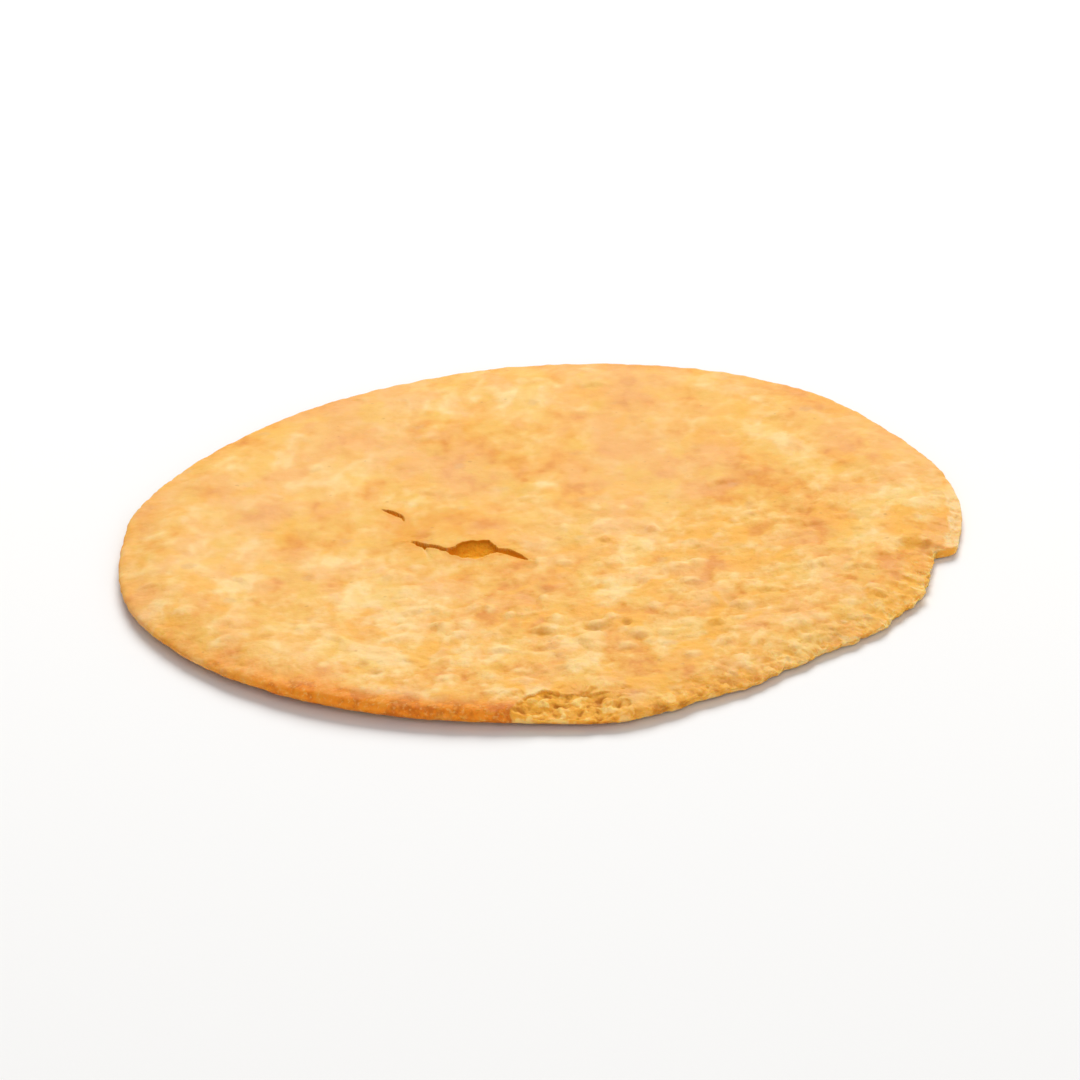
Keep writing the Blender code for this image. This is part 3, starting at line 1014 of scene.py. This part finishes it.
# The tear's inside: dough brightened as a painted glow of light through the skin, and a painted shade colour for
# under the far lip.
HOLLOW_DOUGH_AND_GLOW = (0.900, 0.370, 0.014)
HOLLOW_PAINTED_SHADE = (0.660, 0.205, 0.001)
STAIN = (0.765, 0.325, 0.018)
PIT_SHADE_COLOUR = (0.660, 0.290, 0.050)
SMUDGE = (0.620, 0.375, 0.190)


def baked_dough():
    g = Graph("khakhra_baked_dough")
    crumb, hollow_glow_and_shade, roast_and_shade = g.mask("crumb"), g.mask("hollow_glow_and_shade"), g.mask("roast_and_shade")
    under, rough_skin, relief_painted_shading = g.mask("under"), g.mask("rough_skin"), g.mask("relief_painted_shading")

    # Mottling from pale flour to roasted tan, mostly in patches of 3 to 10 mm, with painted light on the raised
    # relief and painted shade in its hollows.
    g.coordinates = g.stretched
    patches = g.noise(5.2, detail=1.0, rough=0.4, distort=0.3, shift=4.0)
    dabs = g.noise(2.2, detail=1.0, rough=0.5, distort=0.3, shift=6.0)
    shade = g.total(
        0.5,
        (g.noise(13.0, detail=1.0, shift=2.0), 1.15),
        (patches, 1.30),
        (dabs, 0.98),
        (g.noise(1.0, detail=2.0, rough=0.5, shift=8.0), 0.40),
        (relief_painted_shading, 0.44),
        (g.mask("tone"), 1.0),
    )
    fine = g.math("SUBTRACT", g.noise(0.75, detail=2.0, rough=0.6, shift=9.0), 0.5)
    shade = g.math("ADD", shade, g.math("MULTIPLY", fine, g.math("MULTIPLY", rough_skin, 0.62)))
    colour = g.palette(
        shade,
        ((0.05, ORANGE_TAN), (0.27, TAN), (0.50, GOLD), (0.70, PALE_GOLD), (0.95, CREAM)),
    )

    # Large and soft: pinker where the skin is smooth.
    slow = g.noise(15.0, detail=2.0, shift=1.3)
    pink = g.math("MULTIPLY", g.ramp(slow, 0.42, 0.60), g.ramp(rough_skin, 0.80, 0.15))
    colour = g.mix(colour, PINK_TAN, g.math("MULTIPLY", pink, 0.50))
    hue = g.noise(4.2, detail=2.0, rough=0.5, shift=51.0)
    rosy = g.math("MULTIPLY", g.ramp(hue, 0.52, 0.64, 0.0, 0.48), g.ramp(g.mask("tone"), 0.60, 0.51))
    colour = g.mix(colour, ROSY, rosy)
    colour = g.mix(colour, STRAW, g.ramp(hue, 0.48, 0.36, 0.0, 0.48))
    deep = g.ramp(g.noise(4.2, detail=2.0, distort=0.4, shift=17.0), 0.52, 0.66)
    colour = g.mix(colour, DEEP_GOLD, g.math("MULTIPLY", deep, g.ramp(rough_skin, 0.0, 0.8, 0.3, 0.8)))
    # Painted shade: warm deep gold in the relief's hollows, for light bounced inside them.
    colour = g.mix(colour, DEEP_GOLD, g.ramp(relief_painted_shading, 0.40, 0.10, 0.0, 0.50))
    g.coordinates = g.plain

    # Underside: spots from the griddle.
    spots = g.total(
        0.5,
        (g.noise(9.0, detail=1.0, rough=0.5, distort=0.15, shift=21.0), 1.0),
        (g.noise(1.6, detail=3.0, rough=0.6, shift=22.0), 0.24),
    )
    spotted = g.mix(colour, SPOT, g.ramp(spots, 0.49, 0.64, 0.0, 0.85))
    spotted = g.mix(spotted, SPOT_DARK, g.ramp(spots, 0.60, 0.76, 0.0, 0.70))
    spotted = g.mix(spotted, CREAM, g.ramp(spots, 0.44, 0.34, 0.0, 0.35))
    colour = g.mix(colour, spotted, under)

    # The roasted rim, with painted shade: darker on the front wall and darkest at the wall's foot.
    uneven = g.total(
        0.5,
        (g.noise(4.2, detail=1.0, shift=3.0), 0.9),
        (g.noise(1.3, detail=3.0, rough=0.6, shift=5.0), 0.8),
    )
    # Painted shade: the roast darkens towards the wall's foot and on the underside's edge.
    darker = g.math("ADD", g.ramp(uneven, 0.46, 0.64, 0.0, 0.85), g.math("MULTIPLY", g.mask("painted_foot_shade"), 0.55), True)
    roasted = g.mix(ROASTED, ROASTED_DARK_AND_SHADE, darker)
    colour = g.mix(colour, roasted, g.math("MULTIPLY", roast_and_shade, g.ramp(uneven, 0.24, 0.52, 0.55, 1.0)))

    # Pale crumbs on the roasted rim, also standing in for small glints as painted highlights.
    crumbs = g.ramp(g.noise(0.50, detail=2.0, rough=0.6, shift=61.0), 0.54, 0.72)
    colour = g.mix(colour, EDGE_PALE, g.math("MULTIPLY", g.math("MULTIPLY", crumbs, roast_and_shade), 0.42))
    colour = g.mix(colour, STAIN, g.mask("stain"))

    # Bran and spice specks, and grey-green herb smudges, each in a cell of its own.
    for size, keep, radius, tone, amount in (
        (2.3, 0.20, 0.12, BROWN, 0.30),
        (1.3, 0.15, 0.15, BROWN, 0.24),
        (4.2, 0.17, 0.26, SMUDGE, 0.30),
    ):
        chosen = g.ramp(g.first(g.cells(size, "Color")), keep, keep - 0.02)
        wobble = g.math("MULTIPLY", g.noise(0.7, detail=2.0, shift=size), 0.24)
        distance = g.math("ADD", g.cells(size), g.math("SUBTRACT", wobble, 0.12))
        spot = g.ramp(distance, radius, radius * 0.35)
        speck = g.math("MULTIPLY", g.math("MULTIPLY", spot, chosen), amount)
        colour = g.mix(colour, tone, speck)

    # The inner dough: pale where the edge has crumbled, ochre in the flaked place, with painted light on its
    # raised lumps and painted shade in its hollows.
    inner = g.noise(1.1, detail=3.0, rough=0.6, shift=14.0)
    crumbly = g.total(
        0.5, (inner, 1.3), (g.noise(0.5, detail=2.0, shift=40.0), 0.7), (relief_painted_shading, -0.5)
    )
    pale = g.palette(
        crumbly, ((0.28, CREAM), (0.46, EDGE_PALE), (0.60, EDGE_GOLD), (0.76, EDGE_DARK))
    )
    colour = g.mix(colour, pale, crumb)
    # Pale crumbs with painted highlights: small bright flecks on the crumbled edge.
    pale_crumbs_and_glints = g.ramp(g.noise(0.65, detail=2.0, rough=0.6, shift=64.0), 0.55, 0.65)
    colour = g.mix(colour, CREAM, g.math("MULTIPLY", g.math("MULTIPLY", pale_crumbs_and_glints, crumb), 0.55))
    colour = g.mix(colour, FLAKE_PALE, g.math("MULTIPLY", g.mask("flaky"), g.ramp(inner, 0.64, 0.40, 0.3, 0.65)))
    # Painted highlight: pale tops on the puffs.
    colour = g.mix(colour, CREAM, g.math("MULTIPLY", g.mask("puff_painted_highlight"), 0.7))
    lumpy = g.total(0.5, (inner, 0.7), (relief_painted_shading, -0.85))
    ochre = g.palette(lumpy, ((0.26, BED_PALE), (0.46, BED), (0.58, BED), (0.80, BED_DARK_AND_SHADE)))
    colour = g.mix(colour, ochre, g.mask("bed"))
    # Painted shade in the pits.
    colour = g.mix(colour, PIT_SHADE_COLOUR, g.math("MULTIPLY", g.mask("pit_painted_shade"), 0.55))
    # The tear's opening: painted glow, with painted shade darker under the far lip; also the painted shadow line
    # at the flaked place's edge.
    colour = g.mix(colour, g.mix(HOLLOW_DOUGH_AND_GLOW, HOLLOW_PAINTED_SHADE, g.mask("deep")), hollow_glow_and_shade)
    g.put(g.shader.inputs["Base Color"], colour)

    rough = g.math("ADD", g.ramp(patches, 0.3, 0.7, 0.60, 0.74), g.math("MULTIPLY", crumb, 0.15))
    g.put(g.shader.inputs["Roughness"], rough)
    g.shader.inputs["Specular IOR Level"].default_value = 0.16
    g.shader.inputs["Subsurface Weight"].default_value = 0.45
    g.shader.inputs["Subsurface Radius"].default_value = (1.0, 0.42, 0.12)
    g.shader.inputs["Subsurface Scale"].default_value = 0.0008
    g.shader.inputs["Metallic"].default_value = 0.0

    # Relief finer than the mesh: grain, small bubbles, and the broken crumb.
    height = g.total(
        0.0,
        (g.noise(0.45, detail=2.0, rough=0.6, shift=30.0), 0.045),
        (g.noise(1.3, detail=2.0, rough=0.5, shift=33.0), 0.16),
        (g.ramp(g.cells(1.3), 0.65, 0.10), 0.040),
    )
    height = g.math("MULTIPLY", height, g.ramp(rough_skin, 0.1, 0.9, 0.60, 1.50))
    loose = g.math("SUBTRACT", crumb, g.math("MULTIPLY", g.mask("bed"), 0.55), clamp=True)
    crumbs = g.math("MULTIPLY", g.noise(0.7, detail=3.0, rough=0.7, shift=35.0), loose)
    height = g.math("ADD", height, g.math("MULTIPLY", crumbs, 0.32))
    g.put(g.shader.inputs["Normal"], g.bump(height, 1.0))
    return g.material


# --- Camera, light and floor ---
ELEVATION = 24.6
ROLL = 4.3
DISTANCE = 4.0
FRAME_WIDTH = 0.1152   # what the frame shows across, at the bread
AIM_HEIGHT = 0.00178


def add_camera():
    data = bpy.data.cameras.new("camera")
    data.sensor_width = 36.0
    data.lens = 36.0 * DISTANCE / FRAME_WIDTH
    data.clip_start, data.clip_end = 0.05, 20.0
    camera = bpy.data.objects.new("camera", data)
    bpy.context.scene.collection.objects.link(camera)
    e = math.radians(ELEVATION)
    back = Vector((0.0, -math.cos(e), math.sin(e)))
    aim = Vector((0.0, 0.0, AIM_HEIGHT))
    look = (-back).to_track_quat("-Z", "Y").to_matrix().to_4x4()
    rolled = look @ Matrix.Rotation(-math.radians(ROLL), 4, "Z")
    camera.matrix_world = Matrix.Translation(aim + back * DISTANCE) @ rolled
    bpy.context.scene.camera = camera


def add_area(name, place, size, power, colour=(1.0, 1.0, 1.0)):
    data = bpy.data.lights.new(name, "AREA")
    data.shape = "DISK"
    data.size = size
    data.energy = power
    data.color = colour
    light = bpy.data.objects.new(name, data)
    light.location = place
    light.rotation_mode = "QUATERNION"
    light.rotation_quaternion = (-Vector(place)).to_track_quat("-Z", "Y")
    bpy.context.scene.collection.objects.link(light)
    return light


def add_floor():
    mesh = bpy.data.meshes.new("floor")
    half = 2.5
    mesh.from_pydata(
        [(-half, -half, 0), (half, -half, 0), (half, half, 0), (-half, half, 0)], [], [(0, 1, 2, 3)]
    )
    floor = bpy.data.objects.new("floor", mesh)
    bpy.context.scene.collection.objects.link(floor)
    material = bpy.data.materials.new("floor_white")
    material.use_nodes = True
    shader = material.node_tree.nodes["Principled BSDF"]
    shader.inputs["Base Color"].default_value = (0.88, 0.88, 0.88, 1.0)
    shader.inputs["Roughness"].default_value = 0.9
    shader.inputs["Specular IOR Level"].default_value = 0.0
    mesh.materials.append(material)
    return floor


def add_world():
    world = bpy.data.worlds.new("studio")
    bpy.context.scene.world = world
    world.use_nodes = True
    background = world.node_tree.nodes["Background"]
    background.inputs["Color"].default_value = (1.0, 1.0, 1.0, 1.0)
    background.inputs["Strength"].default_value = 0.34


def main():
    bread = build_bread()
    bread.data.materials.append(baked_dough())
    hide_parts("khakhra")
    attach(bread, "root")
    add_floor()
    add_world()
    add_area("key", (0.10, 0.82, 0.80), 0.85, 13.9, (1.0, 0.985, 0.96))
    add_area("front", (0.15, -1.05, 0.50), 0.9, 5.6)
    add_camera()
    bpy.context.scene.view_settings.view_transform = "Standard"


main()
